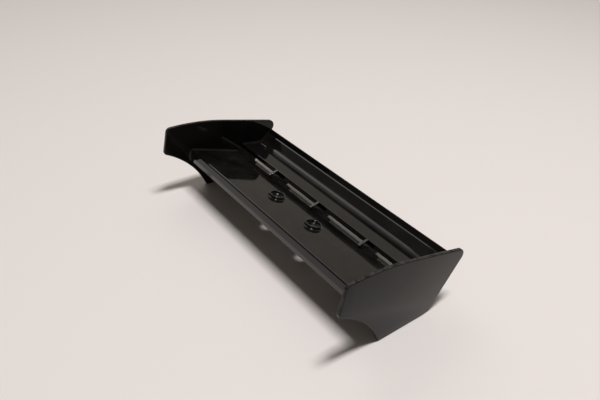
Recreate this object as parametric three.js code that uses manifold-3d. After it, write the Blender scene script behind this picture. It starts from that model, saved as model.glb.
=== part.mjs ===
// Rear wing of a 1/8-scale radio-control off-road buggy: a sloping main plane and a raised flap,
// carried between two profiled end plates, with three chordwise ribs across the slot between them
// and two mounting bosses on the deck. Units are millimetres.
// X runs along the span, -Y is the leading edge, +Y the trailing edge, and +Z is up.
// The origin is on the surface that the end plates stand on, under the middle of the wing.
// A section is a list of [y, z] points, drawn with the leading edge on the left.

import * as THREE from 'three';
import { mergeVertices } from 'three/addons/utils/BufferGeometryUtils.js';
import Module from 'manifold-3d';

// ---- driving dimensions -------------------------------------------------------------------

const SPAN = 180;                        // over the outer faces of the end plates
const PLATE_THICK = 2.2;
const SKIN = 1.8;                        // wall of the deck and the flap
const HOUSING_DEPTH = 0.8;               // how far the wing's ends sit in the end plates
const FIT = 0.15;                        // gap on every side of a joint

// end plate outline
const PLATE_FRONT_LOW = [-43.4, 33.2];
const PLATE_FRONT_TOP = [-39.9, 50.8];
const PLATE_CREST_Y = -36;               // where the top edge starts to fall
const PLATE_CREST_R = 152;
const PLATE_TOP_FALL = 14.5;             // degrees, the straight rear part of the top edge
const PLATE_TAIL_Y = 46.2;               // where the top and rear edges would meet
const PLATE_HEEL = [22.5, 0];            // where the bottom and rear edges would meet
const PLATE_TOE = [-13.6, 0];
const PLATE_ARCH_SAG = 4.2;              // hollow of the front arch, off its chord
const CORNER_R = { frontLow: 2.4, frontTop: 3.2, tail: 4.4, heel: 14, toe: 2.2 };

// main plane section
const LIP_LOW = [-25.0, 23.5];
const LIP_TOP = [-25.0, 27.0];           // where the lip leans back towards the deck
const NOSE_CORNER = [-23.5, 31.35];
const DECK_REAR = [16.6, 18.2];          // top edge of the deck at the slot
const LIP_R = 1.2;
const NOSE_R = 1.2;

// flap section
const FLAP_LIP_LOW = [16.6, 20.2];
const FLAP_FRONT = [16.6, 23.8];
const FLAP_HOLLOW = [32.6, 21.2];        // where the flat and the ramp would meet
const FLAP_CREASE = [38.0, 26.2];        // top of the ramp, where the gurney lip stands
const FLAP_FRONT_R = 0.6;
const FLAP_HOLLOW_R = 5;

// gurney lip section, a strip that stands on the ramp's end behind a narrow tread
const GURNEY_TREAD_REAR = [38.8, 26.4];
const GURNEY_TOP_FRONT = [40.3, 29.7];
const GURNEY_TOP_REAR = [41.2, 29.2];

// slot ribs
const RIB_THICK = 1.8;
const RIB_PITCH = 44.8;
const RIB_FIN_FRONT = [10.0, 22.6];
const RIB_FIN_REAR = [16.6, 23.8];
const RIB_KEEL_Z = 9.5;                  // lowest point of a web, under the slot

// mounting bosses, thin rings that stand square to the deck
const BOSS_PITCH = 36.5;
const BOSS_Y = -2.2;
const BOSS_RISE = 2.0;                   // height of the rim above the deck
const BOSS_FOOT_R = 5.6;
const BOSS_RIM_R = 5.15;
const BOSS_RECESS_R = 4.35;
const BOSS_LEDGE = 0.4;                  // height of the ledge inside the ring
const BOSS_BORE_R = 3.35;
const BOSS_SPIGOT_R = 4.1;
const BOSS_BELOW = 0.4;                  // how far the spigot stands out under the deck
const ROUND_STEPS = 48;

// ---- plane geometry -----------------------------------------------------------------------

const degrees = THREE.MathUtils.degToRad;
const minus = (a, b) => [a[0] - b[0], a[1] - b[1]];
const plus = (a, b, k = 1) => [a[0] + k * b[0], a[1] + k * b[1]];
const unit = (a) => [a[0] / Math.hypot(...a), a[1] / Math.hypot(...a)];

/** The points of an arc about a centre, from one angle to another, both ends included. */
function arc(centre, radius, from, to, steps) {
  return Array.from({ length: steps + 1 }, (_, i) => {
    const angle = from + ((to - from) * i) / steps;
    return plus(centre, [Math.cos(angle), Math.sin(angle)], radius);
  });
}

/** The arc that rounds the corner between two straight edges. */
function fillet(before, corner, after, radius, steps = 8) {
  const back = unit(minus(before, corner));
  const ahead = unit(minus(after, corner));
  const half = Math.acos(back[0] * ahead[0] + back[1] * ahead[1]) / 2;
  const centre = plus(corner, unit(plus(back, ahead)), radius / Math.sin(half));
  const start = minus(plus(corner, back, radius / Math.tan(half)), centre);
  const end = minus(plus(corner, ahead, radius / Math.tan(half)), centre);
  const from = Math.atan2(start[1], start[0]);
  const turn = Math.atan2(start[0] * end[1] - start[1] * end[0], start[0] * end[0] + start[1] * end[1]);
  return arc(centre, radius, from, from + turn, steps);
}

/** A path with its inner corners rounded; radii holds one value for each point, 0 for none. */
function rounded(path, radii) {
  return path.flatMap((point, i) => (radii[i] > 0 ? fillet(path[i - 1], point, path[i + 1], radii[i]) : [point]));
}

/** A path moved sideways, to its right where the distance is positive. */
function beside(path, distance) {
  return path.map((point, i) => {
    const into = unit(minus(point, path[i - 1] ?? plus(point, minus(path[i + 1], point), -1)));
    const out = unit(minus(path[i + 1] ?? plus(point, into), point));
    const normal = unit([into[1] + out[1], -into[0] - out[0]]);
    return plus(point, normal, distance / (normal[0] * into[1] - normal[1] * into[0]));
  });
}

/** A section of even wall: a rounded upper path, and the same path one wall lower. */
function sheet(path, radii, wall, grow = 0) {
  const ends = [...path];
  ends[0] = plus(path[0], unit(minus(path[0], path[1])), grow);
  ends[ends.length - 1] = plus(path.at(-1), unit(minus(path.at(-1), path.at(-2))), grow);
  const lower = radii.map((radius, i) => {
    if (!radius) return 0;
    const a = minus(path[i], path[i - 1]);
    const b = minus(path[i + 1], path[i]);
    return Math.max(0.4, radius + Math.sign(a[0] * b[1] - a[1] * b[0]) * wall);
  });
  return [...rounded(beside(ends, -grow), radii), ...rounded(beside(ends, wall + grow), lower).reverse()];
}

// ---- sections -----------------------------------------------------------------------------

const planeSection = (grow) =>
  sheet([LIP_LOW, LIP_TOP, NOSE_CORNER, DECK_REAR], [0, LIP_R, NOSE_R, 0], SKIN, grow);
const flapSection = (grow) =>
  sheet([FLAP_LIP_LOW, FLAP_FRONT, FLAP_HOLLOW, FLAP_CREASE], [0, FLAP_FRONT_R, FLAP_HOLLOW_R, 0], SKIN, grow);

/** The gurney lip, flush with the ramp in front of its tread and with the ramp's back. */
function gurneySection(grow) {
  const up = unit(minus(FLAP_CREASE, FLAP_HOLLOW));
  const toe = plus(FLAP_CREASE, up, FIT);
  const heel = plus(toe, [up[1], -up[0]], SKIN);
  const outline = [toe, heel, GURNEY_TOP_REAR, GURNEY_TOP_FRONT, GURNEY_TREAD_REAR];
  return beside([outline.at(-1), ...outline, outline[0]], grow).slice(1, -1);
}

/** The outline of an end plate, seen from the right-hand side. */
function plateOutline() {
  const fall = degrees(PLATE_TOP_FALL);
  const crest = [PLATE_CREST_Y, PLATE_FRONT_TOP[1]];
  const curve = arc(plus(crest, [0, -PLATE_CREST_R]), PLATE_CREST_R, Math.PI / 2, Math.PI / 2 - fall, 12);
  const shoulder = curve.at(-1);
  const tail = [PLATE_TAIL_Y, shoulder[1] - (PLATE_TAIL_Y - shoulder[0]) * Math.tan(fall)];
  const chord = minus(PLATE_FRONT_LOW, PLATE_TOE);
  const halfChord = Math.hypot(...chord) / 2;
  const archR = (halfChord ** 2 + PLATE_ARCH_SAG ** 2) / (2 * PLATE_ARCH_SAG);
  const inward = unit([chord[1], -chord[0]]);
  const archCentre = plus(plus(PLATE_TOE, chord, 0.5), inward, PLATE_ARCH_SAG - archR);
  const spread = Math.asin(halfChord / archR);
  const middle = Math.atan2(inward[1], inward[0]);
  const arch = arc(archCentre, archR, middle - spread, middle + spread, 16);
  return [
    ...fillet(arch[14], PLATE_FRONT_LOW, PLATE_FRONT_TOP, CORNER_R.frontLow),
    ...fillet(PLATE_FRONT_LOW, PLATE_FRONT_TOP, crest, CORNER_R.frontTop),
    ...curve,
    ...fillet(shoulder, tail, PLATE_HEEL, CORNER_R.tail, 12),
    ...fillet(tail, PLATE_HEEL, PLATE_TOE, CORNER_R.heel, 12),
    ...fillet(PLATE_HEEL, PLATE_TOE, arch[2], CORNER_R.toe),
    ...arch.slice(2, -2),
  ];
}

/**
 * The outline of a rib, whose top runs inside the deck. A side rib reaches from the leading lip to
 * the ramp, and the middle one is short.
 */
function ribOutline(long) {
  const fin = [[RIB_FIN_FRONT[0], DECK_REAR[1] + 1.2], RIB_FIN_FRONT, RIB_FIN_REAR];
  const rear = [[FLAP_HOLLOW[0], FLAP_HOLLOW[1] - SKIN], [FLAP_HOLLOW[0] - 1, FLAP_HOLLOW[1] - 4.5]];
  const keel = [[DECK_REAR[0] + 9, RIB_KEEL_Z + 1], [DECK_REAR[0] + 4, RIB_KEEL_Z], [9, RIB_KEEL_Z + 1.2]];
  const lip = [[-20.5, 21.6], [-23.7, 22.7], [-24.1, 24.4], [-24.1, 26.8], [-22.6, 29.6]];
  const front = long ? [[-4, 16.4], ...lip] : [[1, 17.5], [-1, 23]];
  return [...fin, ...rear, ...keel, ...front];
}

// ---- solids -------------------------------------------------------------------------------

const wasm = await Module();
wasm.setup();

/** A manifold-3d solid of a three.js geometry. */
function solidOf(geometry) {
  const bare = new THREE.BufferGeometry().setAttribute('position', geometry.getAttribute('position'));
  bare.setIndex(geometry.index);
  const merged = mergeVertices(bare.index ? bare.toNonIndexed() : bare, 1e-4);
  return new wasm.Manifold(
    new wasm.Mesh({
      numProp: 3,
      vertProperties: merged.attributes.position.array,
      triVerts: new Uint32Array(merged.index.array),
    }),
  );
}

/** The three.js geometry of a manifold-3d solid. */
function geometryOf(solid) {
  const mesh = solid.getMesh();
  const geometry = new THREE.BufferGeometry();
  geometry.setAttribute('position', new THREE.BufferAttribute(mesh.vertProperties, 3));
  geometry.setIndex(new THREE.BufferAttribute(mesh.triVerts, 1));
  const faceted = geometry.toNonIndexed();
  faceted.computeVertexNormals();
  return faceted;
}

/** A section swept along the span, from one x to another. */
function swept(section, from, to) {
  const shape = new THREE.Shape(section.map(([y, z]) => new THREE.Vector2(y, z)));
  const geometry = new THREE.ExtrudeGeometry(shape, { depth: to - from, bevelEnabled: false });
  const [x, y, z] = [new THREE.Vector3(1, 0, 0), new THREE.Vector3(0, 1, 0), new THREE.Vector3(0, 0, 1)];
  geometry.applyMatrix4(new THREE.Matrix4().makeBasis(y, z, x));
  return solidOf(geometry.translate(from, 0, 0));
}

/** A turned solid from [radius, height] points, placed on the deck square to its surface. */
function turnedOnDeck(profile, x) {
  const points = [...profile, profile[0]].map(([r, h]) => new THREE.Vector2(r, h));
  const geometry = new THREE.LatheGeometry(points, ROUND_STEPS);
  const slope = Math.atan2(DECK_REAR[1] - NOSE_CORNER[1], DECK_REAR[0] - NOSE_CORNER[0]);
  const deckZ = DECK_REAR[1] + (BOSS_Y - DECK_REAR[0]) * Math.tan(slope);
  geometry.rotateX(Math.PI / 2 + slope);
  return solidOf(geometry.translate(x, BOSS_Y, deckZ));
}

/** The notch in the deck's rear edge that a rib stands in. */
function ribNotch(x, gap) {
  const y = RIB_FIN_FRONT[0] - gap;
  const outline = [[y, 0], [60, 0], [60, 60], [y, 60]];
  return swept(outline, x - RIB_THICK / 2 - gap, x + RIB_THICK / 2 + gap);
}

const INNER_X = SPAN / 2 - PLATE_THICK;
const WING_END_X = INNER_X + HOUSING_DEPTH - FIT;
const RIB_X = { left: -RIB_PITCH, center: 0, right: RIB_PITCH };
const BOSS_X = { left: -BOSS_PITCH / 2, right: BOSS_PITCH / 2 };
const deckHole = [[0, -9], [BOSS_SPIGOT_R + FIT, -9], [BOSS_SPIGOT_R + FIT, 9], [0, 9]];
const bossProfile = [
  [BOSS_BORE_R, -SKIN - BOSS_BELOW],
  [BOSS_SPIGOT_R, -SKIN - BOSS_BELOW],
  [BOSS_SPIGOT_R, FIT],
  [BOSS_FOOT_R, FIT],
  [BOSS_RIM_R + 0.15, FIT + 0.3],
  [BOSS_RIM_R, BOSS_RISE - 0.2],
  [BOSS_RIM_R - 0.15, BOSS_RISE],
  [BOSS_RECESS_R + 0.1, BOSS_RISE],
  [BOSS_RECESS_R, BOSS_RISE - 0.1],
  [BOSS_RECESS_R, BOSS_LEDGE],
  [BOSS_BORE_R, BOSS_LEDGE],
];

/** The deck, with its rib notches and the two holes that the bosses sit in. */
function mainPlane() {
  let solid = swept(planeSection(0), -WING_END_X, WING_END_X);
  for (const x of Object.values(RIB_X)) solid = solid.subtract(ribNotch(x, FIT));
  for (const x of Object.values(BOSS_X)) solid = solid.subtract(turnedOnDeck(deckHole, x));
  return solid;
}

/** An end plate, with a shallow housing for the ends of the deck, the flap and the gurney lip. */
function endPlate(side) {
  const inner = side * INNER_X;
  const outer = (side * SPAN) / 2;
  const floor = side * (INNER_X + HOUSING_DEPTH);
  const between = (section, a, b) => swept(section, Math.min(a, b), Math.max(a, b));
  return [planeSection, flapSection, gurneySection].reduce(
    (solid, section) => solid.subtract(between(section(FIT), inner - side, floor)),
    between(plateOutline(), inner, outer),
  );
}

/** A rib, clear of the deck in front of its notch and of the flap and gurney lip above it. */
function slotRib(x, long) {
  const front = x - RIB_THICK;
  const back = x + RIB_THICK;
  const deck = swept(planeSection(FIT), front, back).subtract(ribNotch(x, RIB_THICK).translate([0, RIB_THICK, 0]));
  return swept(ribOutline(long), x - RIB_THICK / 2, x + RIB_THICK / 2)
    .subtract(deck)
    .subtract(swept(flapSection(FIT), front, back));
}

// ---- the wing -----------------------------------------------------------------------------

const nylon = { color: 0x0b0b0c, roughness: 0.16, metalness: 0 };
const wing = new THREE.Group();

/** Adds one named piece, with a material of its own. */
function add(name, solid) {
  const mesh = new THREE.Mesh(geometryOf(solid), new THREE.MeshStandardMaterial(nylon));
  mesh.name = name;
  wing.add(mesh);
}

add('main_plane', mainPlane());
add('flap', swept(flapSection(0), -WING_END_X, WING_END_X));
add('gurney_lip', swept(gurneySection(0), -WING_END_X, WING_END_X));
add('end_plate_left', endPlate(-1));
add('end_plate_right', endPlate(1));
for (const [side, x] of Object.entries(RIB_X)) add(`slot_rib_${side}`, slotRib(x, x !== 0));
for (const [side, x] of Object.entries(BOSS_X)) add(`mount_boss_${side}`, turnedOnDeck(bossProfile, x));

export default wing;
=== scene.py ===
"""Rear wing of a 1/8-scale radio-control off-road buggy, in glossy black moulded nylon.

The wing is a sloping deck with a raised flap and gurney lip behind it, carried between two profiled
end plates. Three ribs cross the slot, and two raised rings on the deck take the mounting screws.
Lengths are in metres. X runs along the span, -Y is the leading edge and +Z is up. A section point
is a two-part vector (y, z).
"""

import logging
import math
from dataclasses import dataclass, field
from enum import Enum

import bmesh
import bpy
from mathutils import Matrix, Vector


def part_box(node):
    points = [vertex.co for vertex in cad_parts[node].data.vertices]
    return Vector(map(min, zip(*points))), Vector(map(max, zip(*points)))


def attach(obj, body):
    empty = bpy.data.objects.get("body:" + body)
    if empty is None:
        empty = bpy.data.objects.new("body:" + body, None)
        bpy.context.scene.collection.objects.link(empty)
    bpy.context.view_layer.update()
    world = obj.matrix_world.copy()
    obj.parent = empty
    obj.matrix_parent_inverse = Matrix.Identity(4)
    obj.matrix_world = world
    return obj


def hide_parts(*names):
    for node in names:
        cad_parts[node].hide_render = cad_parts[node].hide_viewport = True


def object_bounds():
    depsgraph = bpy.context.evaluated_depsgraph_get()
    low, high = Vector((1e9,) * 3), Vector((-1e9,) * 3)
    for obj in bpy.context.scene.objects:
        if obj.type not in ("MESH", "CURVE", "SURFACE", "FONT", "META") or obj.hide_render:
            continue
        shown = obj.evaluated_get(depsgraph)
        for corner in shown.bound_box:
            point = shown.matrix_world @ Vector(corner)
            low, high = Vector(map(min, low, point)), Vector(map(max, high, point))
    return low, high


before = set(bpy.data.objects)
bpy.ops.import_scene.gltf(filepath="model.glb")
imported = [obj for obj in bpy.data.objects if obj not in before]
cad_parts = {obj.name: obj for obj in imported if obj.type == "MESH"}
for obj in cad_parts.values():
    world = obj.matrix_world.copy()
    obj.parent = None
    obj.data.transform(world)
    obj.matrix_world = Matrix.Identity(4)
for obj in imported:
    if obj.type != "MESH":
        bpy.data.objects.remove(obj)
CAD_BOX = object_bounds()

MM = 0.001
EDGE_STEPS = 5
HOLE_FACETS = 72
MIN_INSIDE_RADIUS = 0.4 * MM
LOG = logging.getLogger("rear_wing")
Path2 = list[Vector]


class Side(Enum):
    """The two ends of the wing, by the sign of x."""

    LEFT = -1
    RIGHT = 1

    @property
    def word(self) -> str:
        """The side's name as the pieces spell it."""
        return self.name.lower()


class Scuffing(Enum):
    """How much a surface has been handled, as the strength of its hairline scuffs."""

    CLEAN = 0.25
    HANDLED = 0.6
    RUBBED = 1.0


# ---- plane geometry -----------------------------------------------------------------------


def point(y: float, z: float) -> Vector:
    """A section point from millimetres."""
    return Vector((y, z)) * MM


def arc(centre: Vector, radius: float, start: float, turn: float, steps: int) -> Path2:
    """Points along an arc, both ends included.

    Args:
        centre: The arc's centre.
        radius: The arc's radius.
        start: The angle of the first point, in radians.
        turn: The angle turned through, positive for anticlockwise.
        steps: The number of chords.

    Returns:
        The points in order.
    """
    angles = [start + turn * i / steps for i in range(steps + 1)]
    return [centre + radius * Vector((math.cos(a), math.sin(a))) for a in angles]


def fillet(before: Vector, corner: Vector, after: Vector, radius: float, steps: int = 16) -> Path2:
    """The arc that rounds the corner between two straight edges.

    Args:
        before: A point on the edge that arrives.
        corner: Where the two edges would meet.
        after: A point on the edge that leaves.
        radius: The rounding radius.
        steps: The number of chords in the arc.

    Returns:
        The points of the arc, from the first edge to the second.
    """
    back = (before - corner).normalized()
    ahead = (after - corner).normalized()
    half = back.angle(ahead) / 2
    centre = corner + (back + ahead).normalized() * radius / math.sin(half)
    start = corner + back * radius / math.tan(half) - centre
    end = corner + ahead * radius / math.tan(half) - centre
    turn = math.atan2(start.x * end.y - start.y * end.x, start.dot(end))
    return arc(centre, radius, math.atan2(start.y, start.x), turn, steps)


def rounded(path: Path2, radii: list[float], steps: int = 16) -> Path2:
    """A path with its inner corners rounded.

    Args:
        path: The corner points.
        radii: One radius for each point, 0 to leave it sharp.
        steps: The number of chords in each arc.

    Returns:
        The rounded path.
    """
    out: Path2 = []
    for i, corner in enumerate(path):
        if radii[i] > 0:
            out += fillet(path[i - 1], corner, path[(i + 1) % len(path)], radii[i], steps)
        else:
            out.append(corner)
    return out


def beside(path: Path2, distance: float, closed: bool = False) -> Path2:
    """A path moved sideways, to its right where the distance is positive.

    Args:
        path: The points to move.
        distance: How far to move them, square to the path.
        closed: Whether the last point joins the first.

    Returns:
        The moved path, with mitred corners.
    """
    count = len(path)
    out: Path2 = []
    for i, here in enumerate(path):
        last = path[i - 1] if i or closed else here * 2 - path[1]
        following = path[(i + 1) % count] if i < count - 1 or closed else here * 2 - path[i - 1]
        into = (here - last).normalized()
        away = (following - here).normalized()
        normal = Vector((into.y + away.y, -into.x - away.x)).normalized()
        out.append(here + normal * distance / (normal.x * into.y - normal.y * into.x))
    return out


# ---- meshes -------------------------------------------------------------------------------


class Shell:
    """Rings of points joined into one closed, smooth-shaded skin."""

    WEAR = "edge_wear"
    SMOOTH_BELOW = math.radians(32)

    def __init__(self) -> None:
        """Starts an empty skin with a wear value for each point."""
        self.mesh = bmesh.new()
        self.wear = self.mesh.verts.layers.float.new(self.WEAR)

    def ring(self, points: list[Vector], wear: float = 0.0) -> list[bmesh.types.BMVert]:
        """Adds one ring of points.

        Args:
            points: The places of the points.
            wear: How exposed the ring is to rubbing, from 0 to 1.

        Returns:
            The new vertices.
        """
        verts = [self.mesh.verts.new(p) for p in points]
        for vert in verts:
            vert[self.wear] = wear
        return verts

    def bridge(self, first: list, second: list, closed: bool = True) -> None:
        """Joins two rings of the same length with four-sided faces.

        Args:
            first: One ring's vertices.
            second: The next ring's vertices.
            closed: Whether each ring's last point joins its first.
        """
        count = len(first)
        for i in range(count if closed else count - 1):
            j = (i + 1) % count
            self.mesh.faces.new((first[i], first[j], second[j], second[i])).smooth = True

    def cap(self, ring: list) -> None:
        """Closes a ring with one flat face."""
        self.mesh.faces.new(ring).smooth = False

    def finish(self, name: str) -> bpy.types.Object:
        """Turns the skin into an object in the scene.

        Args:
            name: The object's name.

        Returns:
            The new object, with its faces pointing outwards.
        """
        bmesh.ops.recalc_face_normals(self.mesh, faces=self.mesh.faces)
        data = bpy.data.meshes.new(name)
        self.mesh.to_mesh(data)
        self.mesh.free()
        data.set_sharp_from_angle(angle=self.SMOOTH_BELOW)
        piece = bpy.data.objects.new(name, data)
        bpy.context.scene.collection.objects.link(piece)
        return piece


def across(path: Path2, x: float) -> list[Vector]:
    """The points of a section, at one place along the span."""
    return [Vector((x, p.x, p.y)) for p in path]


def slab(name: str, outline: Path2, low: float, high: float, edge: float) -> bpy.types.Object:
    """A flat plate of any outline, with its edges rounded.

    Args:
        name: The piece's name.
        outline: The outline, clockwise as seen from +X.
        low: The x of the plate's left face.
        high: The x of its right face.
        edge: The radius on its edges.

    Returns:
        The plate.
    """
    shell = Shell()
    turns = [math.pi / 2 * i / EDGE_STEPS for i in range(EDGE_STEPS + 1)]
    rises = [
        (edge * (1 - math.cos(t)), edge * (1 - math.sin(t)), i / EDGE_STEPS)
        for i, t in enumerate(turns)
    ]
    places = [(low + dx, inset, wear) for dx, inset, wear in rises]
    places += [(high - dx, inset, wear) for dx, inset, wear in reversed(rises)]
    rings = [
        shell.ring(across(beside(outline, inset, closed=True), x), wear) for x, inset, wear in places
    ]
    for first, second in zip(rings, rings[1:]):
        shell.bridge(first, second)
    shell.cap(rings[0])
    shell.cap(rings[-1][::-1])
    return shell.finish(name)


def sweep(name: str, outline: Path2, low: float, high: float) -> bpy.types.Object:
    """A section carried straight along the span.

    Args:
        name: The piece's name.
        outline: The closed section.
        low: The x where it starts.
        high: The x where it ends.

    Returns:
        The swept piece.
    """
    shell = Shell()
    rings = [shell.ring(across(outline, x)) for x in (low, high)]
    shell.bridge(*rings)
    shell.cap(rings[0])
    shell.cap(rings[1][::-1])
    return shell.finish(name)


def weigh_normals(piece: bpy.types.Object) -> None:
    """Lets the broad flat faces set the shading where they run into small curves."""
    weighted = piece.modifiers.new("even shading", "WEIGHTED_NORMAL")
    weighted.keep_sharp = True


def bore(piece: bpy.types.Object, places: list[Matrix], radius: float, reach: float) -> None:
    """Cuts round holes through a piece.

    Args:
        piece: The piece to cut.
        places: For each hole, the frame whose Z is the hole's axis.
        radius: The radius of the holes.
        reach: How far the cutter stands out on both sides.
    """
    for place in places:
        cutter = bmesh.new()
        bmesh.ops.create_cone(
            cutter,
            cap_ends=True,
            segments=HOLE_FACETS,
            radius1=radius,
            radius2=radius,
            depth=2 * reach,
            matrix=place,
        )
        data = bpy.data.meshes.new("cutter")
        cutter.to_mesh(data)
        cutter.free()
        tool = bpy.data.objects.new("cutter", data)
        bpy.context.scene.collection.objects.link(tool)
        cut = piece.modifiers.new("hole", "BOOLEAN")
        cut.operation = "DIFFERENCE"
        cut.solver = "EXACT"
        cut.object = tool
        graph = bpy.context.evaluated_depsgraph_get()
        result = bpy.data.meshes.new_from_object(piece.evaluated_get(graph), depsgraph=graph)
        piece.modifiers.clear()
        piece.data = result
        bpy.data.objects.remove(tool)
    piece.data.set_sharp_from_angle(angle=Shell.SMOOTH_BELOW)


# ---- shader groups ------------------------------------------------------------------------


class GroupKit:
    """A shader node group under construction, with short calls for its nodes and links."""

    def __init__(
        self, name: str, inputs: dict[str, tuple[str, float | None]], outputs: dict[str, str]
    ) -> None:
        """Makes an empty group with its named sockets.

        Args:
            name: The group's name.
            inputs: For each input, its socket type and its default value or None.
            outputs: For each output, its socket type.
        """
        self.tree = bpy.data.node_groups.new(name, "ShaderNodeTree")
        for label, (kind, default) in inputs.items():
            socket = self.tree.interface.new_socket(label, in_out="INPUT", socket_type=kind)
            if default is not None:
                socket.default_value = default
        for label, kind in outputs.items():
            self.tree.interface.new_socket(label, in_out="OUTPUT", socket_type=kind)
        self.inputs = self.tree.nodes.new("NodeGroupInput").outputs
        self.outputs = self.tree.nodes.new("NodeGroupOutput").inputs

    def node(self, kind: str, **settings: object) -> bpy.types.Node:
        """Adds a node and gives it its settings."""
        made = self.tree.nodes.new(kind)
        for key, value in settings.items():
            setattr(made, key, value)
        return made

    def feed(self, socket: bpy.types.NodeSocket, value: object) -> None:
        """Gives an input a link if the value is a socket, and otherwise a fixed value."""
        if isinstance(value, bpy.types.NodeSocket):
            self.tree.links.new(value, socket)
        else:
            socket.default_value = value

    def math(self, operation: str, *values: object, clamp: bool = False) -> bpy.types.NodeSocket:
        """One step of arithmetic on links or fixed values."""
        made = self.node("ShaderNodeMath", operation=operation, use_clamp=clamp)
        for socket, value in zip(made.inputs, values):
            self.feed(socket, value)
        return made.outputs[0]

    def noise(self, vector: object, scale: object, detail: float, rough: float = 0.5) -> bpy.types.NodeSocket:
        """A smooth noise value at a place."""
        made = self.node("ShaderNodeTexNoise")
        self.feed(made.inputs["Vector"], vector)
        self.feed(made.inputs["Scale"], scale)
        self.feed(made.inputs["Detail"], detail)
        self.feed(made.inputs["Roughness"], rough)
        return made.outputs["Fac"]

    def band(self, value: object, low: float, high: float) -> bpy.types.NodeSocket:
        """A value stretched so that low becomes 0 and high becomes 1, with soft ends."""
        made = self.node("ShaderNodeMapRange", interpolation_type="SMOOTHSTEP")
        self.feed(made.inputs["Value"], value)
        self.feed(made.inputs["From Min"], low)
        self.feed(made.inputs["From Max"], high)
        return made.outputs["Result"]

    def turned(self, vector: object, angles: tuple, scale: tuple) -> bpy.types.NodeSocket:
        """A place turned and then stretched, for marks that run one way."""
        made = self.node("ShaderNodeMapping")
        self.feed(made.inputs["Vector"], vector)
        made.inputs["Rotation"].default_value = angles
        made.inputs["Scale"].default_value = scale
        return made.outputs["Vector"]


def mould_ripple() -> bpy.types.NodeTree:
    """Builds the group for the faint waviness and fine grain that a polished mould leaves.

    Returns:
        A group with inputs Position, Wave Scale and Grain Scale and outputs Height and Flow.
    """
    kit = GroupKit(
        "mould ripple",
        {
            "Position": ("NodeSocketVector", None),
            "Wave Scale": ("NodeSocketFloat", 60.0),
            "Grain Scale": ("NodeSocketFloat", 2600.0),
        },
        {"Height": "NodeSocketFloat", "Flow": "NodeSocketFloat"},
    )
    wave = kit.noise(kit.inputs["Position"], kit.inputs["Wave Scale"], 1.0)
    grain = kit.noise(kit.inputs["Position"], kit.inputs["Grain Scale"], 2.0)
    kit.feed(kit.outputs["Height"], kit.math("MULTIPLY_ADD", grain, 0.035, wave))
    kit.feed(kit.outputs["Flow"], kit.band(wave, 0.3, 0.7))
    return kit.tree


def hairline_scuffs() -> bpy.types.NodeTree:
    """Builds the group for the fine scratches that handling leaves, in three directions.

    Returns:
        A group with inputs Position and Amount and outputs Mask and Height.
    """
    kit = GroupKit(
        "hairline scuffs",
        {"Position": ("NodeSocketVector", None), "Amount": ("NodeSocketFloat", 1.0)},
        {"Mask": "NodeSocketFloat", "Height": "NodeSocketFloat"},
    )
    directions = ((0.1, 0.0, 0.25), (0.5, 0.3, 1.3), (-0.4, 0.2, -0.7))
    lines = None
    for turn in directions:
        place = kit.turned(kit.inputs["Position"], turn, (55.0, 2600.0, 2600.0))
        line = kit.band(kit.noise(place, 1.0, 1.0), 0.66, 0.74)
        lines = line if lines is None else kit.math("MAXIMUM", lines, line)
    patch = kit.band(kit.noise(kit.inputs["Position"], 42.0, 2.0), 0.47, 0.68)
    mask = kit.math("MULTIPLY", kit.math("MULTIPLY", lines, patch), kit.inputs["Amount"], clamp=True)
    kit.feed(kit.outputs["Mask"], mask)
    kit.feed(kit.outputs["Height"], kit.math("MULTIPLY", mask, -1.0))
    return kit.tree


def settled_dust() -> bpy.types.NodeTree:
    """Builds the group for the specks and thin film of dust on faces that look upwards.

    Returns:
        A group with inputs Position, Normal and Amount and outputs Film and Specks.
    """
    kit = GroupKit(
        "settled dust",
        {
            "Position": ("NodeSocketVector", None),
            "Normal": ("NodeSocketVector", None),
            "Amount": ("NodeSocketFloat", 1.0),
        },
        {"Film": "NodeSocketFloat", "Specks": "NodeSocketFloat"},
    )
    split = kit.node("ShaderNodeSeparateXYZ")
    kit.feed(split.inputs[0], kit.inputs["Normal"])
    upward = kit.band(split.outputs["Z"], 0.2, 0.9)
    amount = kit.math("MULTIPLY", upward, kit.inputs["Amount"])
    cloud = kit.band(kit.noise(kit.inputs["Position"], 75.0, 5.0, 0.65), 0.42, 0.8)
    cells = kit.node("ShaderNodeTexVoronoi", feature="F1")
    kit.feed(cells.inputs["Vector"], kit.inputs["Position"])
    kit.feed(cells.inputs["Scale"], 520.0)
    speck = kit.band(cells.outputs["Distance"], 0.13, 0.07)
    sparse = kit.band(kit.noise(kit.inputs["Position"], 300.0, 1.0), 0.6, 0.66)
    kit.feed(kit.outputs["Film"], kit.math("MULTIPLY", cloud, amount, clamp=True))
    specks = kit.math("MULTIPLY", kit.math("MULTIPLY", speck, sparse), amount, clamp=True)
    kit.feed(kit.outputs["Specks"], specks)
    return kit.tree


def rubbed_edges() -> bpy.types.NodeTree:
    """Builds the group for the dulled, slightly paler line along exposed edges.

    Returns:
        A group with inputs Position, Exposure and Amount and output Mask.
    """
    kit = GroupKit(
        "rubbed edges",
        {
            "Position": ("NodeSocketVector", None),
            "Exposure": ("NodeSocketFloat", 0.0),
            "Amount": ("NodeSocketFloat", 1.0),
        },
        {"Mask": "NodeSocketFloat"},
    )
    broken = kit.band(kit.noise(kit.inputs["Position"], 260.0, 4.0, 0.7), 0.38, 0.62)
    edge = kit.band(kit.inputs["Exposure"], 0.35, 1.0)
    mask = kit.math("MULTIPLY", kit.math("MULTIPLY", edge, broken), kit.inputs["Amount"], clamp=True)
    kit.feed(kit.outputs["Mask"], mask)
    return kit.tree


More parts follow.
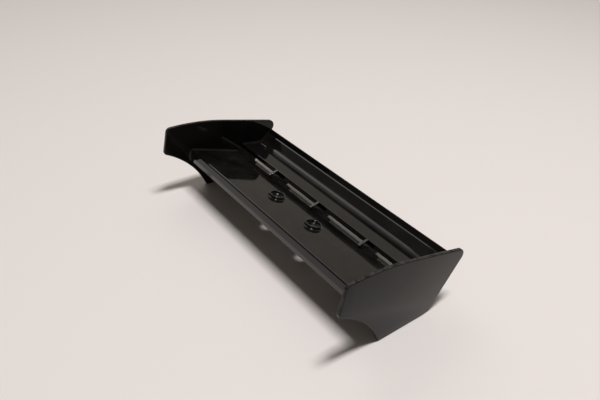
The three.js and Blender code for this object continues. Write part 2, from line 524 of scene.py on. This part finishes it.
@dataclass
class Effects:
    """The effects that every finish shares, each built once."""

    ripple: bpy.types.NodeTree = field(default_factory=mould_ripple)
    scuffs: bpy.types.NodeTree = field(default_factory=hairline_scuffs)
    dust: bpy.types.NodeTree = field(default_factory=settled_dust)
    edges: bpy.types.NodeTree = field(default_factory=rubbed_edges)


@dataclass(frozen=True)
class NylonFinish:
    """A glossy black moulded nylon surface."""

    name: str
    deep: tuple[float, float, float] = (0.0036, 0.0034, 0.0034)
    faded: tuple[float, float, float] = (0.0068, 0.0062, 0.0058)
    dusty: tuple[float, float, float] = (0.20, 0.185, 0.16)
    rubbed: tuple[float, float, float] = (0.05, 0.048, 0.045)
    roughness: float = 0.04
    ior: float = 1.5
    wave_scale: float = 48.0
    wave_depth: float = 0.00003
    scuffing: Scuffing = Scuffing.HANDLED
    dust: float = 0.035
    edge_wear: float = 0.5
    flow_roughness: float = 0.02
    scuff_roughness: float = 0.12
    edge_roughness: float = 0.2
    dust_roughness: float = 0.5
    scuff_height: float = 0.05

    def build(self, effects: Effects) -> bpy.types.Material:
        """Makes the material.

        Args:
            effects: The shared shader groups.

        Returns:
            A material for any piece of this finish.
        """
        material = bpy.data.materials.new(self.name)
        material.use_nodes = True
        tree = material.node_tree
        shader = tree.nodes["Principled BSDF"]
        shader.inputs["IOR"].default_value = self.ior
        place = tree.nodes.new("ShaderNodeTexCoord").outputs["Object"]
        facing = tree.nodes.new("ShaderNodeNewGeometry").outputs["Normal"]
        exposure = tree.nodes.new("ShaderNodeAttribute")
        exposure.attribute_name = Shell.WEAR
        ripple = self._effect(tree, effects.ripple, {"Position": place, "Wave Scale": self.wave_scale})
        handling = {"Position": place, "Amount": self.scuffing.value}
        scuffs = self._effect(tree, effects.scuffs, handling)
        settled = {"Position": place, "Normal": facing, "Amount": self.dust}
        dust = self._effect(tree, effects.dust, settled)
        wear = {"Position": place, "Exposure": exposure.outputs["Fac"], "Amount": self.edge_wear}
        edges = self._effect(tree, effects.edges, wear)
        colour = self._mix(tree, ripple["Flow"], (*self.deep, 1.0), (*self.faded, 1.0))
        colour = self._mix(tree, edges["Mask"], colour, (*self.rubbed, 1.0))
        colour = self._mix(tree, dust["Film"], colour, (*self.dusty, 1.0))
        colour = self._mix(tree, dust["Specks"], colour, (*self.dusty, 1.0))
        tree.links.new(colour, shader.inputs["Base Color"])
        rough = self._add(tree, ripple["Flow"], self.flow_roughness, self.roughness)
        for mask, amount in (
            (scuffs["Mask"], self.scuff_roughness),
            (edges["Mask"], self.edge_roughness),
            (dust["Film"], self.dust_roughness),
        ):
            rough = self._add(tree, mask, amount, rough)
        tree.links.new(rough, shader.inputs["Roughness"])
        bump = tree.nodes.new("ShaderNodeBump")
        bump.inputs["Distance"].default_value = self.wave_depth
        height = self._add(tree, scuffs["Height"], self.scuff_height, ripple["Height"])
        tree.links.new(height, bump.inputs["Height"])
        tree.links.new(bump.outputs["Normal"], shader.inputs["Normal"])
        return material

    @staticmethod
    def _effect(tree: bpy.types.NodeTree, group: bpy.types.NodeTree, values: dict) -> bpy.types.NodeInputs:
        """Places a shared group in the material.

        Args:
            tree: The material's node tree.
            group: The group to place.
            values: A link or a fixed value for each named input.

        Returns:
            The group's outputs.
        """
        node = tree.nodes.new("ShaderNodeGroup")
        node.node_tree = group
        for label, value in values.items():
            if isinstance(value, bpy.types.NodeSocket):
                tree.links.new(value, node.inputs[label])
            else:
                node.inputs[label].default_value = value
        return node.outputs

    @staticmethod
    def _mix(tree: bpy.types.NodeTree, mask: object, under: object, over: object) -> bpy.types.NodeSocket:
        """Lays one colour over another through a mask.

        Args:
            tree: The material's node tree.
            mask: The link that says where the upper colour shows.
            under: The lower colour, a link or a fixed colour.
            over: The upper colour, a link or a fixed colour.

        Returns:
            The mixed colour.
        """
        node = tree.nodes.new("ShaderNodeMix")
        node.data_type = "RGBA"
        tree.links.new(mask, node.inputs["Factor"])
        for socket, value in ((node.inputs[6], under), (node.inputs[7], over)):
            if isinstance(value, bpy.types.NodeSocket):
                tree.links.new(value, socket)
            else:
                socket.default_value = value
        return node.outputs[2]

    @staticmethod
    def _add(tree: bpy.types.NodeTree, mask: object, amount: float, base: object) -> bpy.types.NodeSocket:
        """Adds a share of a mask to a value, which may be a link or a number."""
        node = tree.nodes.new("ShaderNodeMath")
        node.operation = "MULTIPLY_ADD"
        tree.links.new(mask, node.inputs[0])
        node.inputs[1].default_value = amount
        if isinstance(base, bpy.types.NodeSocket):
            tree.links.new(base, node.inputs[2])
        else:
            node.inputs[2].default_value = base
        return node.outputs[0]


# ---- the wing -----------------------------------------------------------------------------


@dataclass
class Moulded:
    """A group of the wing's pieces that share one finish."""

    finish: bpy.types.Material
    slot: str
    pieces: list[bpy.types.Object] = field(default_factory=list, init=False)

    def keep(self, piece: bpy.types.Object, *nodes: str) -> None:
        """Dresses a piece and ties it to the frame.

        Args:
            piece: The piece.
            nodes: The CAD nodes that it stands for.
        """
        piece.data.materials.clear()
        piece.data.materials.append(self.finish)
        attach(piece, "root")
        if nodes:
            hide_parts(*nodes)
        self.pieces.append(piece)
        size = [round(d / MM, 2) for d in piece.dimensions]
        LOG.info("%s: %s mm, for %s", piece.name, size, ", ".join(nodes) or "no node")


@dataclass
class Deck(Moulded):
    """The sloping main plane, with the folded nose and lip at its leading edge."""

    skin: float = 1.8 * MM
    run: float = 40.1 * MM
    fall: float = 13.15 * MM
    lean: tuple[float, float] = (-1.5 * MM, -4.35 * MM)
    lip_drop: float = 3.5 * MM
    nose_radius: float = 1.2 * MM
    lip_end_radius: float = 0.3 * MM
    rear_radius: float = 0.2 * MM
    embed: float = 0.5 * MM
    hole_reach: float = 4 * MM

    def __post_init__(self) -> None:
        """Finds the deck's corners from the box of its CAD node."""
        self.low, self.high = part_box("main_plane")
        self.slope = math.atan2(self.fall, self.run)
        self.rear = Vector((self.high.y, self.low.z + self.skin * math.cos(self.slope)))
        self.nose = self.rear + Vector((-self.run, self.fall))
        self.brow = self.nose + Vector(self.lean)
        self.lip = self.brow - Vector((0, self.lip_drop))
        self.normal = Vector((math.sin(self.slope), math.cos(self.slope)))

    def upper(self) -> Path2:
        """The deck's outer surface, from the lip's lower edge over the nose to the slot."""
        corners = [self.lip, self.brow, self.nose, self.rear]
        return rounded(corners, [0, self.nose_radius, self.nose_radius, 0], 20)

    def section(self) -> Path2:
        """The deck's closed section, with its two ends rounded."""
        outer = [self.lip, self.brow, self.nose, self.rear]
        corners = [*outer, *reversed(beside(outer, self.skin))]
        outside = [self.lip_end_radius, self.nose_radius, self.nose_radius, self.rear_radius]
        inside = [self.rear_radius, MIN_INSIDE_RADIUS, MIN_INSIDE_RADIUS, self.lip_end_radius]
        return rounded(corners, outside + inside, 20)

    def on_top(self, y: float) -> Vector:
        """The point of the deck's surface at one y."""
        return Vector((y, self.rear.y + (self.rear.x - y) * math.tan(self.slope)))

    def square_at(self, x: float, y: float) -> Matrix:
        """A frame on the deck's surface whose Z stands square to it."""
        top = self.on_top(y)
        return Matrix.Translation((x, top.x, top.y)) @ Matrix.Rotation(-self.slope, 4, "X")

    def build(self, rings: "ScrewRings") -> None:
        """Makes the deck and cuts the holes that the screw rings stand in.

        Args:
            rings: The screw rings.
        """
        piece = sweep("deck_skin", self.section(), self.low.x - self.embed, self.high.x + self.embed)
        bore(piece, rings.places(self), rings.hole_radius, self.hole_reach)
        weigh_normals(piece)
        self.keep(piece, "main_plane")


@dataclass
class Flap(Moulded):
    """The raised flap behind the slot, with its ramp and the gurney lip on the ramp's end."""

    skin: float = 1.8 * MM
    lip_drop: float = 3.6 * MM
    front_below_crease: float = 2.4 * MM
    flat_run: float = 16.0 * MM
    flat_fall: float = 2.6 * MM
    ramp_run: float = 5.4 * MM
    ramp_rise: float = 5.0 * MM
    hollow_radius: float = 4.5 * MM
    front_radius: float = 0.6 * MM
    crease_radius: float = 0.45 * MM
    lip_end_radius: float = 0.2 * MM
    tread_radius: float = 0.2 * MM
    tread: tuple[float, float] = (0.8 * MM, 0.2 * MM)
    riser: tuple[float, float] = (1.5 * MM, 3.3 * MM)
    top: tuple[float, float] = (0.9 * MM, -0.5 * MM)
    top_radius: float = 0.35 * MM
    embed: float = 0.5 * MM

    def __post_init__(self) -> None:
        """Finds the flap's corners from the box of its CAD node."""
        self.low, self.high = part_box("flap")
        self.front = Vector((self.low.y, self.high.z - self.front_below_crease))
        self.lip = self.front - Vector((0, self.lip_drop))
        self.hollow = self.front + Vector((self.flat_run, -self.flat_fall))
        self.crease = self.hollow + Vector((self.ramp_run, self.ramp_rise))
        self.tread_rear = self.crease + Vector(self.tread)
        self.top_front = self.tread_rear + Vector(self.riser)
        self.top_rear = self.top_front + Vector(self.top)

    def upper(self) -> Path2:
        """The flap's outer surface, from its front lip to the top of the gurney lip."""
        corners = [self.lip, self.front, self.hollow, self.crease, self.tread_rear, self.top_front]
        radii = [0, self.front_radius, self.hollow_radius, self.crease_radius, self.tread_radius, 0]
        return rounded(corners, radii, 14)

    def build(self) -> None:
        """Makes the flap with its ramp, and the gurney lip that stands on the ramp."""
        spine = [self.lip, self.front, self.hollow, self.crease]
        inner = beside(spine, self.skin)
        corners = [*spine, *reversed(inner)]
        radii = [self.lip_end_radius, self.front_radius, self.hollow_radius, 0]
        radii += [0, self.hollow_radius + self.skin, MIN_INSIDE_RADIUS, self.lip_end_radius]
        ends = self.low.x - self.embed, self.high.x + self.embed
        flap = sweep("flap_skin", rounded(corners, radii, 24), *ends)
        weigh_normals(flap)
        self.keep(flap, "flap")
        strip_corners = [self.crease, self.tread_rear, self.top_front, self.top_rear, inner[3]]
        strip_radii = [0, self.tread_radius, self.top_radius, self.top_radius, 0]
        strip = sweep("gurney_strip", rounded(strip_corners, strip_radii, 10), *ends)
        weigh_normals(strip)
        self.keep(strip, "gurney_lip")


@dataclass
class SlotRibs(Moulded):
    """The three ribs under the wing, whose fins stand up across the slot."""

    edge: float = 0.15 * MM
    fin_front: Vector = field(default_factory=lambda: point(10.0, 22.6))
    keel: list[Vector] = field(
        default_factory=lambda: [point(25.6, 10.5), point(20.6, 9.5), point(9.0, 10.7)]
    )
    long_front: list[Vector] = field(
        default_factory=lambda: [point(-4, 16.4), point(-20.5, 21.6), point(-23.7, 22.7), point(-24.1, 24.4)]
    )
    short_front: list[Vector] = field(default_factory=lambda: [point(1, 17.5), point(-1, 23)])
    brow_inset: Vector = field(default_factory=lambda: point(0.9, -0.2))
    nose_inset: Vector = field(default_factory=lambda: point(0.9, -1.75))
    share_in_deck: float = 0.6
    share_in_flap: float = 0.5

    def build(self, deck: Deck, flap: Flap) -> None:
        """Makes the ribs between the deck and the flap.

        Args:
            deck: The deck, which the ribs' upper edge runs inside.
            flap: The flap, which their rear end runs inside.
        """
        inside_flap = beside([flap.lip, flap.front, flap.hollow, flap.crease], flap.skin * self.share_in_flap)
        for node in ("slot_rib_left", "slot_rib_center", "slot_rib_right"):
            low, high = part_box(node)
            long = node != "slot_rib_center"
            front = self.long_front if long else self.short_front
            nose = [deck.brow + self.brow_inset, deck.nose + self.nose_inset] if long else []
            outline = [
                deck.on_top(self.fin_front.x) - deck.normal * deck.skin * self.share_in_deck,
                self.fin_front,
                flap.front,
                flap.front + point(0.9, -0.7),
                inside_flap[2] + point(-1.2, 0.2),
                flap.hollow - point(0.0, 1.8),
                flap.hollow - point(1.0, 4.5),
                *self.keel,
                *front,
                *nose,
            ]
            piece = slab(node.replace("slot_rib", "rib_web"), outline, low.x, high.x, self.edge)
            self.keep(piece, node)


@dataclass
class ScrewRings(Moulded):
    """The two raised rings around the mounting screws, square to the deck."""

    setback: float = 18.8 * MM
    hole_radius: float = 4.2 * MM
    rise: float = 2.0 * MM
    foot_radius: float = 5.6 * MM
    rim_radius: float = 5.15 * MM
    recess_radius: float = 4.35 * MM
    ledge: float = 0.4 * MM
    bore_radius: float = 3.35 * MM
    below: float = 2.2 * MM
    worn_depth: float = 0.3 * MM
    facets: int = 96

    def places(self, deck: Deck) -> list[Matrix]:
        """The frames of the two rings on the deck."""
        out = []
        for side in Side:
            low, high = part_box(f"mount_boss_{side.word}")
            out.append(deck.square_at((low.x + high.x) / 2, deck.rear.x - self.setback))
        return out

    def profile(self) -> Path2:
        """The ring's closed profile as (radius, height) points, with its edges rounded."""
        corners = [
            Vector((self.bore_radius, -self.below)),
            Vector((self.hole_radius + 0.1 * MM, -self.below)),
            Vector((self.hole_radius + 0.1 * MM, -0.2 * MM)),
            Vector((self.foot_radius + 0.1 * MM, -0.2 * MM)),
            Vector((self.foot_radius, 0.05 * MM)),
            Vector((self.rim_radius, 0.35 * MM)),
            Vector((self.rim_radius - 0.05 * MM, self.rise)),
            Vector((self.recess_radius, self.rise)),
            Vector((self.recess_radius - 0.05 * MM, self.ledge)),
            Vector((self.bore_radius, self.ledge)),
        ]
        radii = [0.15, 0.2, 0, 0, 0, 0.35, 0.22, 0.22, 0.3, 0.25]
        return rounded(corners, [r * MM for r in radii], 7)

    def build(self, deck: Deck) -> None:
        """Makes the two rings.

        Args:
            deck: The deck that they stand on.
        """
        turns = [math.tau * i / self.facets for i in range(self.facets)]
        for side, place in zip(Side, self.places(deck)):
            shell = Shell()
            rings = []
            for radius, height in self.profile():
                circle = [
                    place @ Vector((radius * math.cos(t), radius * math.sin(t), height)) for t in turns
                ]
                rings.append(shell.ring(circle, 1.0 if height > self.rise - self.worn_depth else 0.0))
            for first, second in zip(rings, rings[1:] + rings[:1]):
                shell.bridge(first, second)
            self.keep(shell.finish(f"screw_ring_{side.word}"), f"mount_boss_{side.word}")


@dataclass
class EndPlates(Moulded):
    """The two end plates, and the small fillets where the wing's skins run into them."""

    edge: float = 0.4 * MM
    fillet: float = 0.9 * MM
    front_lean: float = 3.5 * MM
    front_drop: float = 17.6 * MM
    crest_back: float = 7.4 * MM
    crest_radius: float = 152 * MM
    top_fall: float = math.radians(14.5)
    tail_back: float = 89.6 * MM
    heel_back: float = 65.9 * MM
    toe_back: float = 29.8 * MM
    arch_sag: float = 4.2 * MM
    arch_steps: int = 48
    arch_trim: int = 4
    root_steps: int = 6
    root_buried: float = 0.25 * MM
    corner_radii: tuple[float, ...] = (2.4 * MM, 3.2 * MM, 4.4 * MM, 14 * MM, 2.2 * MM)

    def outline(self) -> Path2:
        """The plates' outline, clockwise as seen from the right.

        Returns:
            The outline, from the lower front corner up over the crest and round.
        """
        low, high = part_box("end_plate_right")
        low_r, top_r, tail_r, heel_r, toe_r = self.corner_radii
        origin = low.y
        front_low = Vector((origin, high.z - self.front_drop))
        front_top = Vector((origin + self.front_lean, high.z))
        crest = Vector((origin + self.crest_back, high.z))
        heel = Vector((origin + self.heel_back, low.z))
        toe = Vector((origin + self.toe_back, low.z))
        centre = crest - Vector((0, self.crest_radius))
        curve = arc(centre, self.crest_radius, math.pi / 2, -self.top_fall, 40)
        shoulder = curve[-1]
        tail_y = origin + self.tail_back
        tail = Vector((tail_y, shoulder.y - (tail_y - shoulder.x) * math.tan(self.top_fall)))
        chord = front_low - toe
        half = chord.length / 2
        radius = (half**2 + self.arch_sag**2) / (2 * self.arch_sag)
        inward = Vector((chord.y, -chord.x)).normalized()
        arch_centre = toe + chord / 2 + inward * (self.arch_sag - radius)
        spread = math.asin(half / radius)
        middle = math.atan2(inward.y, inward.x)
        arch = arc(arch_centre, radius, middle - spread, 2 * spread, self.arch_steps)
        trim = self.arch_trim
        points = [
            *fillet(arch[-1 - trim], front_low, front_top, low_r),
            *fillet(front_low, front_top, crest, top_r),
            *curve,
            *fillet(shoulder, tail, heel, tail_r, 24),
            *fillet(tail, heel, toe, heel_r, 24),
            *fillet(heel, toe, arch[trim], toe_r),
            *arch[trim:-trim],
        ]
        shift = Vector((low.y - min(p.x for p in points), 0))
        return [p + shift for p in points]

    def root(self, name: str, side: Side, wall: float, path: Path2) -> bpy.types.Object:
        """A hollow fillet along the line where a skin meets a plate.

        Args:
            name: The piece's name.
            side: Which plate it is on.
            wall: The x of the plate's inner face.
            path: The skin's outer surface, with the open air on its left.

        Returns:
            The fillet.
        """
        buried = self.root_buried
        shell = Shell()
        turns = [math.pi / 2 * i / self.root_steps for i in range(self.root_steps + 1)]
        rails = [(self.fillet * (1 - math.sin(t)), self.fillet * (1 - math.cos(t))) for t in turns]
        rails = [(-buried, self.fillet), *rails, (self.fillet, -buried), (-buried, -buried)]
        lines = []
        for inward, lift in rails:
            x = wall - side.value * inward
            lines.append(shell.ring(across(beside(path, -lift), x)))
        lines.append(lines[0])
        for first, second in zip(lines, lines[1:]):
            shell.bridge(first, second, closed=False)
        shell.cap([line[0] for line in lines[:-1]])
        shell.cap([line[-1] for line in lines[:-1]][::-1])
        return shell.finish(name)

    def build(self, deck: Deck, flap: Flap) -> None:
        """Makes the plates and their fillets.

        Args:
            deck: The deck that the plates carry.
            flap: The flap that they carry.
        """
        for side in Side:
            node = f"end_plate_{side.word}"
            low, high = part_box(node)
            self.keep(slab(f"plate_{side.word}", self.outline(), low.x, high.x, self.edge), node)
            wall = high.x if side is Side.LEFT else low.x
            self.keep(self.root(f"deck_root_{side.word}", side, wall, deck.upper()))
            self.keep(self.root(f"flap_root_{side.word}", side, wall, flap.upper()))


# ---- the studio ---------------------------------------------------------------------------


@dataclass
class Studio:
    """A pale floor, a soft lamp overhead, a dim bounce panel and a grey room."""

    floor_half: float = 4.0
    floor_colour: tuple[float, float, float] = (0.80, 0.755, 0.735)
    lamp_direction: Vector = field(default_factory=lambda: Vector((0.176, 0.060, 0.983)))
    lamp_distance: float = 1.454
    lamp_size: tuple[float, float] = (0.20, 0.50)
    lamp_power: float = 17.0
    lamp_colour: tuple[float, float, float] = (1.0, 0.985, 0.98)
    panel_direction: Vector = field(default_factory=lambda: Vector((-0.649, 0.114, 0.751)))
    panel_distance: float = 1.6
    panel_size: tuple[float, float] = (0.8, 0.8)
    panel_power: float = 2.0
    room_colour: tuple[float, float, float] = (1.0, 0.90, 0.79)
    room_levels: tuple[tuple[float, float], ...] = (
        (0.0, 0.22), (0.15, 0.29), (0.37, 0.34), (0.66, 0.62), (0.80, 0.40), (1.0, 0.12)
    )
    side_fade: tuple[float, float] = (0.05, 0.7)
    dim_share: float = 0.22
    floor_mottle: float = 0.985
    bright_side: Vector = field(default_factory=lambda: Vector((-0.66, 0.75, 0.0)))

    def floor(self) -> None:
        """Lays the floor that the wing stands on."""
        mesh = bmesh.new()
        bmesh.ops.create_grid(mesh, x_segments=8, y_segments=8, size=self.floor_half)
        data = bpy.data.meshes.new("floor")
        mesh.to_mesh(data)
        mesh.free()
        floor = bpy.data.objects.new("floor", data)
        floor.location = (0, 0, CAD_BOX[0].z)
        bpy.context.scene.collection.objects.link(floor)
        material = bpy.data.materials.new("pale table top")
        material.use_nodes = True
        tree = material.node_tree
        shader = tree.nodes["Principled BSDF"]
        shader.inputs["Roughness"].default_value = 0.9
        shader.inputs["Specular IOR Level"].default_value = 0.2
        noise = tree.nodes.new("ShaderNodeTexNoise")
        noise.inputs["Scale"].default_value = 3.0
        mix = tree.nodes.new("ShaderNodeMix")
        mix.data_type = "RGBA"
        mix.inputs[6].default_value = (*(c * self.floor_mottle for c in self.floor_colour), 1.0)
        mix.inputs[7].default_value = (*self.floor_colour, 1.0)
        tree.links.new(noise.outputs["Fac"], mix.inputs["Factor"])
        tree.links.new(mix.outputs[2], shader.inputs["Base Color"])
        floor.data.materials.append(material)

    def light(self, name: str, direction: Vector, distance: float, size: tuple, power: float) -> None:
        """Hangs a soft rectangular lamp that looks at the wing.

        Args:
            name: The lamp's name.
            direction: The way from the wing to the lamp.
            distance: How far away it is.
            size: Its width along the span and its length across.
            power: Its power in watts.
        """
        data = bpy.data.lights.new(name, "AREA")
        data.shape = "RECTANGLE"
        data.size, data.size_y = size
        data.energy = power
        data.color = self.lamp_colour
        away = direction.normalized()
        along = Vector((0, 1, 0)).cross(away).normalized()
        lamp = bpy.data.objects.new(name, data)
        lamp.matrix_world = Matrix((along, away.cross(along), away)).transposed().to_4x4()
        lamp.location = away * distance
        bpy.context.scene.collection.objects.link(lamp)

    def room(self) -> None:
        """Gives the room a grey light that is stronger on one side, at a middle height."""
        world = bpy.data.worlds.new("room")
        bpy.context.scene.world = world
        world.use_nodes = True
        tree = world.node_tree
        background = tree.nodes["Background"]
        way = tree.nodes.new("ShaderNodeTexCoord").outputs["Generated"]
        split = tree.nodes.new("ShaderNodeSeparateXYZ")
        tree.links.new(way, split.inputs[0])
        ramp = tree.nodes.new("ShaderNodeValToRGB")
        while len(ramp.color_ramp.elements) < len(self.room_levels):
            ramp.color_ramp.elements.new(0.5)
        for element, (place, level) in zip(ramp.color_ramp.elements, self.room_levels):
            element.position = place
            element.color = (*(level * c for c in self.room_colour), 1.0)
        tree.links.new(split.outputs["Z"], ramp.inputs[0])
        side = tree.nodes.new("ShaderNodeVectorMath")
        side.operation = "DOT_PRODUCT"
        side.inputs[1].default_value = self.bright_side
        tree.links.new(way, side.inputs[0])
        share = tree.nodes.new("ShaderNodeMapRange")
        share.inputs["From Min"].default_value = self.side_fade[0]
        share.inputs["From Max"].default_value = self.side_fade[1]
        share.inputs["To Min"].default_value = self.dim_share
        share.inputs["To Max"].default_value = 1.0
        tree.links.new(side.outputs["Value"], share.inputs["Value"])
        tree.links.new(ramp.outputs["Color"], background.inputs["Color"])
        tree.links.new(share.outputs["Result"], background.inputs["Strength"])

    def build(self) -> None:
        """Sets up the floor, the lights and the way that the picture shows tones."""
        self.floor()
        self.room()
        lamp = self.lamp_direction, self.lamp_distance, self.lamp_size, self.lamp_power
        panel = self.panel_direction, self.panel_distance, self.panel_size, self.panel_power
        self.light("soft lamp", *lamp)
        self.light("bounce panel", *panel)
        scene = bpy.context.scene
        scene.view_settings.view_transform = "Standard"
        scene.view_settings.look = "None"
        scene.cycles.use_denoising = True


@dataclass(frozen=True)
class Viewpoint:
    """Where the camera stands, as angles and a distance from the point that it looks at."""

    azimuth: float = math.radians(51.6048)
    elevation: float = math.radians(34.0568)
    roll: float = math.radians(2.9727)
    distance: float = 373.905 * MM
    aim: tuple[float, float, float] = (-17.118 * MM, 15.407 * MM, 15.913 * MM)
    lens: float = 34.916
    sensor: float = 36.0

    def build(self) -> None:
        """Makes the scene's camera."""
        level = math.cos(self.elevation)
        back = Vector(
            (math.sin(self.azimuth) * level, -math.cos(self.azimuth) * level, math.sin(self.elevation))
        )
        right = (-back).cross(Vector((0, 0, 1))).normalized()
        up = right.cross(-back)
        along = math.cos(self.roll) * right + math.sin(self.roll) * up
        upright = math.cos(self.roll) * up - math.sin(self.roll) * right
        data = bpy.data.cameras.new("camera")
        data.sensor_fit = "HORIZONTAL"
        data.sensor_width = self.sensor
        data.lens = self.lens
        data.clip_start = 0.01
        data.clip_end = 50
        camera = bpy.data.objects.new("camera", data)
        turned = Matrix((along, upright, back)).transposed().to_4x4()
        camera.matrix_world = Matrix.Translation(Vector(self.aim) + back * self.distance) @ turned
        bpy.context.scene.collection.objects.link(camera)
        bpy.context.scene.camera = camera


def main() -> None:
    """Builds the wing's sub-assemblies, the studio and the camera."""
    logging.basicConfig(level=logging.INFO, format="%(name)s %(message)s")
    effects = Effects()
    wing = NylonFinish("wing nylon").build(effects)
    plate = NylonFinish(
        "plate nylon", roughness=0.06, ior=1.3, scuffing=Scuffing.CLEAN, edge_wear=0.7
    ).build(effects)
    ring = NylonFinish("ring nylon", roughness=0.10, scuffing=Scuffing.RUBBED, edge_wear=0.8).build(effects)
    deck = Deck(wing, "wing_nylon")
    flap = Flap(wing, "wing_nylon")
    rings = ScrewRings(ring, "boss_nylon")
    ribs = SlotRibs(wing, "wing_nylon")
    plates = EndPlates(plate, "plate_nylon")
    deck.build(rings)
    flap.build()
    ribs.build(deck, flap)
    rings.build(deck)
    plates.build(deck, flap)
    Studio().build()
    Viewpoint().build()
    made = sum(len(group.pieces) for group in (deck, flap, ribs, rings, plates))
    LOG.info("%d pieces for %d CAD nodes", made, len(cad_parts))


if __name__ == "__main__":
    main()
